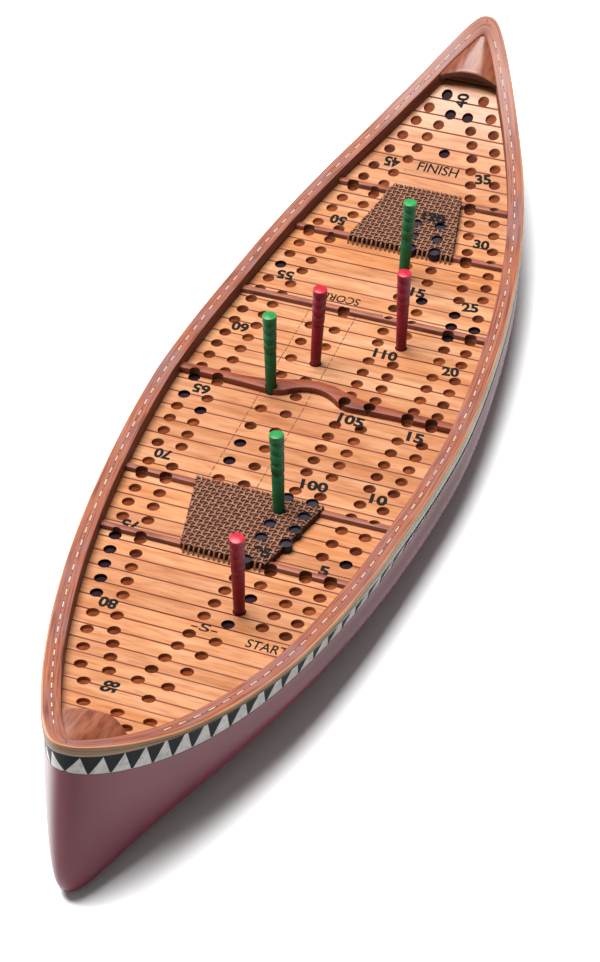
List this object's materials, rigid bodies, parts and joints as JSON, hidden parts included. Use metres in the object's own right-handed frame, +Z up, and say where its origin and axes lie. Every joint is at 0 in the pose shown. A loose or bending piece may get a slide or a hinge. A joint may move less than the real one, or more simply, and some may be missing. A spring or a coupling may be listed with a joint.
{
  "type": "canoe-shaped cribbage board",
  "caption": "Canoe-shaped cribbage board: a planked, drilled playing deck inside a solid canoe hull, with seats, yoke, thwart and lift-out pegs.",
  "frame": {"origin": "on the flat underside of the hull, on the centreline, midway between the two rim tips", "axes": "+X toward the bow, +Y to port, +Z up; the hull rests on z = 0"},
  "size_m": [0.3642, 0.0976, 0.0574],
  "materials": {
    "maroon_paint": "glossy maroon paint",
    "cedar": "satin clear coat over orange-tan planking",
    "rail_wood": "satin reddish brown with cream stitching",
    "outwale_wood": "satin tan",
    "band_slate": "slate with white triangles, satin",
    "plate_wood": "glossy reddish brown",
    "member_wood": "satin reddish brown",
    "cane": "open woven cane over a dark ground, matte",
    "red_peg": "satin red",
    "green_peg": "satin green"
  },
  "bodies": {
    "board": {"hull": "maroon_paint", "playing_deck": "cedar", "gunwale_rail_port": "rail_wood", "gunwale_rail_starboard": "rail_wood", "outwale_port": "outwale_wood", "outwale_starboard": "outwale_wood", "band_port": "band_slate", "band_starboard": "band_slate", "bow_deck_plate": "plate_wood", "stern_deck_plate": "plate_wood", "bow_seat_fore_rail": "member_wood", "bow_seat_aft_rail": "member_wood", "stern_seat_fore_rail": "member_wood", "stern_seat_aft_rail": "member_wood", "thwart": "member_wood", "yoke": "member_wood", "bow_seat_cane": "cane", "stern_seat_cane": "cane"},
    "red_peg_1": {"red_peg_1": "red_peg"},
    "green_peg_1": {"green_peg_1": "green_peg"},
    "red_peg_2": {"red_peg_2": "red_peg"},
    "green_peg_2": {"green_peg_2": "green_peg"},
    "red_peg_3": {"red_peg_3": "red_peg"},
    "green_peg_3": {"green_peg_3": "green_peg"}
  },
  "joints": [
    {"name": "red_peg_1_lift", "type": "slide", "parent": "board", "child": "red_peg_1", "axis": [0, -0.014, 0.9999], "range_m": [0, 0.03]},
    {"name": "green_peg_1_lift", "type": "slide", "parent": "board", "child": "green_peg_1", "axis": [0, -0.0401, 0.9992], "range_m": [0, 0.03]},
    {"name": "red_peg_2_lift", "type": "slide", "parent": "board", "child": "red_peg_2", "axis": [0, -0.0506, 0.9987], "range_m": [0, 0.03]},
    {"name": "green_peg_2_lift", "type": "slide", "parent": "board", "child": "green_peg_2", "axis": [0, 0.0105, 0.9999], "range_m": [0, 0.03]},
    {"name": "red_peg_3_lift", "type": "slide", "parent": "board", "child": "red_peg_3", "axis": [-0.061, -0.0175, 0.998], "range_m": [0, 0.03]},
    {"name": "green_peg_3_lift", "type": "slide", "parent": "board", "child": "green_peg_3", "axis": [0.0523, 0.0454, 0.9976], "range_m": [0, 0.03]}
  ]
}
